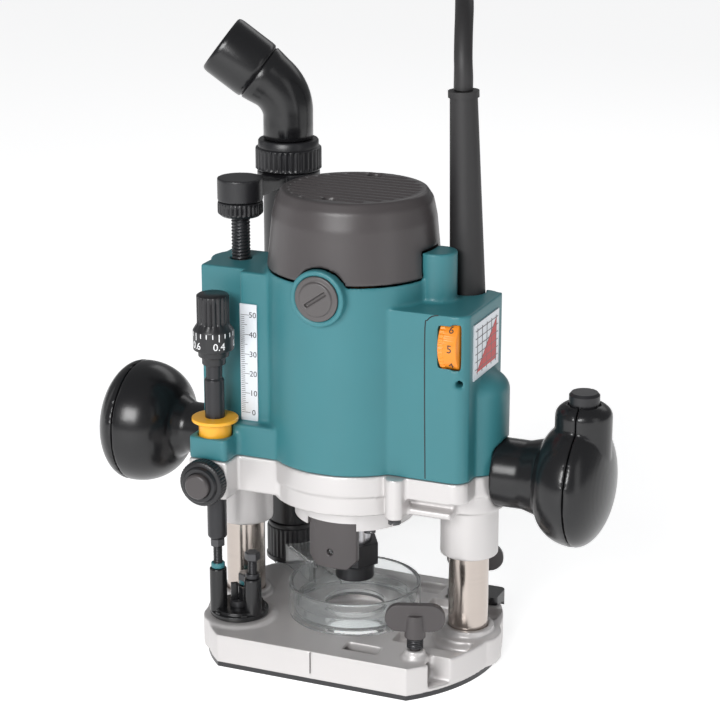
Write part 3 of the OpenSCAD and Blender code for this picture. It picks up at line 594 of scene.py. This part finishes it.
def make_stop_bolts():
    bodies = ("stop_bolt_tall", "stop_bolt_middle", "stop_bolt_short")
    for k, body in enumerate(bodies):
        top, post_top = BOLT_TOPS[k], POST_TOPS[k]
        at = Matrix.Translation(post(k))
        bm = threaded(bmesh.new(), 2.2, 22, top - 4, 0.8, 0.28, at)
        head = [(0, top - 4), (3.4, top - 4), (3.7, top - 3.6), (3.7, top - 0.5), (3.2, top), (0, top)]
        lathe(bm, head, at @ turn_z(20 * k), 6)
        piece(body + "_screw", bm, body, BLACK_STEEL, [body], crease=30)
        nut = [(2.3, post_top + 0.2), (3.1, post_top + 0.2), (3.3, post_top + 0.5),
               (3.3, post_top + 2.3), (3.1, post_top + 2.6), (2.3, post_top + 2.6)]
        ink = TEAL if k != 1 else BLACK_STEEL
        piece(body + "_lock_ring", lathe(bmesh.new(), nut, at, 48), body, ink)


# ---------- knurled and threaded pieces ----------
def make_limit_nut():
    place = Matrix.Translation((-COLUMN_X, 0, 0))
    profile = [(4.6, 206), (9, 206), (10.4, 207.2)] + [(10.7, 207.6 + k) for k in range(5)]
    profile += [(10.5, 212.6), (10.1, 213), (4.6, 213)]
    bm = lathe(bmesh.new(), profile, place, 168, ribs=(28, 0.8, 207.3, 212.4))
    piece("limit_nut_grip", bm, "limit_nut", BLACK, ["limit_nut"], crease=50)


def make_threaded_rod():
    place = Matrix.Translation((-COLUMN_X, 0, 0))
    bm = threaded(bmesh.new(), 4.5, 150, 212.4, 1.6, 0.5, place, 48)
    lathe(bm, [(0, 22), (4.5, 22), (4.5, 150.2), (0, 150.2)], place, 48)
    piece("limit_rod", bm, "base", BLACK_STEEL, ["threaded_rod"], crease=40)


def make_collars():
    place = Matrix.Translation((*PIPE, 0))
    profile = [(12.4, 219.3), (15.2, 219.3), (16, 220.1)] + [(16, 220.4 + k * 1.3) for k in range(8)]
    profile += [(15.8, 229.9), (15.2, 230.3), (14.7, 230.4), (14.6, 233.4), (14.1, 234), (11.4, 234),
                (11.4, 230.2), (12.4, 230.1), (12.4, 219.3)]
    bm = lathe(bmesh.new(), profile, place, 180, ribs=(36, 0.75, 220.2, 229.8))
    piece("upper_collar_grip", bm, "upper_collar", BLACK, ["upper_collar"], crease=50)
    profile = [(10.7, 18.5), (12.7, 18.5), (13, 18.9), (13, 20.7), (12.5, 21)]
    profile += [(12.6, 21.4 + k * 2) for k in range(8)]
    profile += [(12.3, 36), (11.8, 36.2), (11.8, 38.1), (11.4, 38.5), (10.7, 38.5), (10.7, 18.5)]
    bm = lathe(bmesh.new(), profile, place, 160, ribs=(32, 0.7, 21.3, 35.6))
    piece("lower_collar_grip", bm, "lower_collar", BLACK, ["lower_collar"], crease=50)


def make_wing_bolts():
    for body, side, low in (("front_wing_bolt", -1, 20.6), ("rear_wing_bolt", 1, 19.8)):
        softened(body + "_head", body, 0.35, 4)
        place = Matrix.Translation((WING_X, side * ROD_Y, 0))
        line = []
        for k in range(0, 5 * 24 + 1):
            a = 2 * math.pi * k / 24
            z = low + 0.5 + (26.2 - low - 1) * k / 120
            line.append(place @ Vector((3.4 * math.cos(a), 3.4 * math.sin(a), z)))
        bm = sweep(bmesh.new(), line, 0.45, 8)
        name = "wing_bolt_spring_front" if side < 0 else "wing_bolt_spring_rear"
        obj = piece(name, bm, "base", BLACK_STEEL)
        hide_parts("wing_bolt_springs")


# ---------- plates ----------
def make_depth_scale():
    marks = bmesh.new()
    for k in range(0, 51):
        z = 118.2 + 0.9466 * k
        reach = 4.3 if k % 10 == 0 else 3.3 if k % 5 == 0 else 1.9
        slab(marks, (-46.8, -24.68, z - 0.1), (-46.8 + reach, -24.58, z + 0.1), 0)
    facing = Matrix.Rotation(math.pi / 2, 4, "X")
    for k in range(0, 6):
        at = Matrix.Translation((-40.7, -24.64, 118.2 + 9.466 * k)) @ facing
        join(marks, numeral(str(10 * k), 2.7, at))
    piece("depth_scale_marks", marks, "motor_unit", INK)


def make_speed_chart():
    red = bmesh.new()
    low = [red.verts.new(c) for c in ((66.52, -17, 149), (66.52, 8.5, 149), (66.52, 8.5, 168.5))]
    high = [red.verts.new(v.co + Vector((0.1, 0, 0))) for v in low]
    red.faces.new(low[::-1])
    red.faces.new(high)
    for k in range(3):
        n = (k + 1) % 3
        red.faces.new([low[k], low[n], high[n], high[k]])
    piece("speed_chart_wedge", red, "motor_unit", RED_INK)
    lines = bmesh.new()
    for k in range(6):
        z = 150.5 + 3.6 * k
        slab(lines, (66.5, -18.5, z - 0.14), (66.66, 10.5, z + 0.14), 0)
    for k in range(5):
        y = -16 + 6 * k
        slab(lines, (66.5, y - 0.14, 148), (66.65, y + 0.14, 169.5), 0)
    piece("speed_chart_lines", lines, "motor_unit", GREY)


def make_speed_dial():
    place = Matrix.Translation((57.5, -19, DIAL_Z)) @ Matrix.Rotation(math.pi / 2, 4, "Y")
    profile = [(2.1, -4.4), (12.4, -4.4), (13.1, -4)] + [(13.2, -3.7 + 0.3 * k) for k in range(7)]
    profile += [(12.7, -1.6), (12.7, 4), (12.3, 4.4), (2.1, 4.4), (2.1, -4.4)]
    bm = lathe(bmesh.new(), profile, place, 200, ribs=(40, 0.5, -3.9, -1.8))
    piece("speed_dial_wheel", bm, "speed_dial", ORANGE, ["speed_dial"], crease=50)
    marks = bmesh.new()
    for k in range(6):
        at = place @ turn_z(-40 * (k - 4)) @ Matrix.Rotation(math.pi / 2, 4, "X")
        at = at @ Matrix.Translation((0, 1.3, 12.72)) @ Matrix.Rotation(math.pi / 2, 4, "Z")
        join(marks, numeral(str(k + 1), 3.6, at))
    piece("speed_dial_numbers", marks, "speed_dial", INK)


def loft(bm, rings, segments=72):
    """Joins rings, each a matrix and a radius, into one closed skin."""
    made = []
    for place, r in rings:
        made.append([bm.verts.new(place @ Vector((r * math.cos(a), r * math.sin(a), 0)))
                     for a in (2 * math.pi * k / segments for k in range(segments))])
    for low, high in zip(made, made[1:] + made[:1]):
        for k in range(segments):
            n = (k + 1) % segments
            bm.faces.new([low[k], low[n], high[n], high[k]])
    return bm


def make_elbow():
    base = Matrix.Translation((*PIPE, ELBOW_Z)) @ turn_z(ELBOW_TURN)
    base = base @ Matrix.Translation((-BEND_R, 0, 0))

    def at(angle, along=0):
        lean = Matrix.Rotation(-math.radians(angle), 4, "Y")
        return base @ lean @ Matrix.Translation((BEND_R, 0, along))

    def socket(along):
        return at(ELBOW_LEAN, along)

    rings = [(at(0, -11.3), 9.5), (at(0, -11.3), 11.6), (at(0, -10.9), 12), (at(0, -4), 12)]
    rings += [(at(t), 12 + 0.028 * t) for t in range(0, ELBOW_LEAN + 1, 4)]
    rings += [(socket(3), 14), (socket(6.6), 14.5), (socket(7.1), 14.2), (socket(7.4), 13.7)]
    rings += [(socket(7.8), 14.2), (socket(8.4), 14.8), (socket(10), 15), (socket(27), 15)]
    rings += [(socket(28.6), 14.8), (socket(29.6), 14.3), (socket(30), 13.6)]
    rings += [(socket(29.7), 12.9), (socket(28.8), 12.5), (socket(9), 12.5), (socket(9), 9.5)]
    rings += [(at(t), 9.5) for t in range(ELBOW_LEAN - 1, -1, -4)]
    piece("elbow_moulding", loft(bmesh.new(), rings), "dust_elbow", GLOSS_BLACK,
          ["dust_elbow"], crease=50)


def make_seams():
    """The joint of the dial's cover on the housing and the line on the base's front edge."""
    front = -28.72
    points = [(46.9, 99.8), (46.3, 140), (46.2, 171), (47.2, 174.4), (49.6, 176.6), (52.5, 177.3)]
    line = smooth_line([Vector((x, front, z)) for x, z in points], 1.5)
    piece("housing_seam", sweep(bmesh.new(), line, 0.3, 8), "motor_unit", BLACK)
    mark = slab(bmesh.new(), (-0.2, -53.03, 5), (0.2, -52.6, 15.6), 0)
    piece("base_centre_mark", mark, "base", WARM_GREY)


def make_deflector_floor():
    profile = rounded([(14.2, 17.6), (29.4, 17.6), (29.4, 18.6), (28.6, 18.6), (28.4, 23),
                       (27.9, 23), (27.7, 18.6), (15.2, 18.6), (15.2, 20.4), (14.2, 20.4),
                       (14.2, 17.6)], 0.25)
    piece("deflector_floor", lathe(bmesh.new(), profile), "base", GLASSY)


make_camera()
make_studio()
make_cord()

softened("housing_shell", "motor_housing", 0.9, 3)
softened("cap_shell", "motor_cap", 0.8, 3)
softened("bracket_casting", "motor_bracket", 0.8, 3)
softened("base_plate_casting", "base_casting", 0.8, 3)
softened("dust_arm_moulding", "dust_arm", 0.5, 8)
softened("brush_cap_turnings", "brush_caps", 0.35, 3, WARM_GREY)
softened("shaft_lock_button", "shaft_lock", 0.4, 4)
softened("collet_nut_turning", "collet_nut", 0.35, 3)
softened("deflector_moulding", "chip_deflector", 0.4, 3)
make_pole_knob()
make_pole()
make_pointer()
make_pole_lock()
make_turret()
make_stop_bolts()
make_limit_nut()
make_threaded_rod()
make_collars()
make_wing_bolts()
make_depth_scale()
make_speed_chart()
make_speed_dial()
make_deflector_floor()
make_elbow()
make_seams()
for part in ("left_handle_inner", "left_handle_outer", "right_handle_inner", "right_handle_outer"):
    softened(part + "_shell", part, 0.9, 3)

for name, node in nodes.items():
    if not node.hide_render:
        node.data.materials.clear()
        node.data.materials.append(FINISH[SLOT_OF[name]])
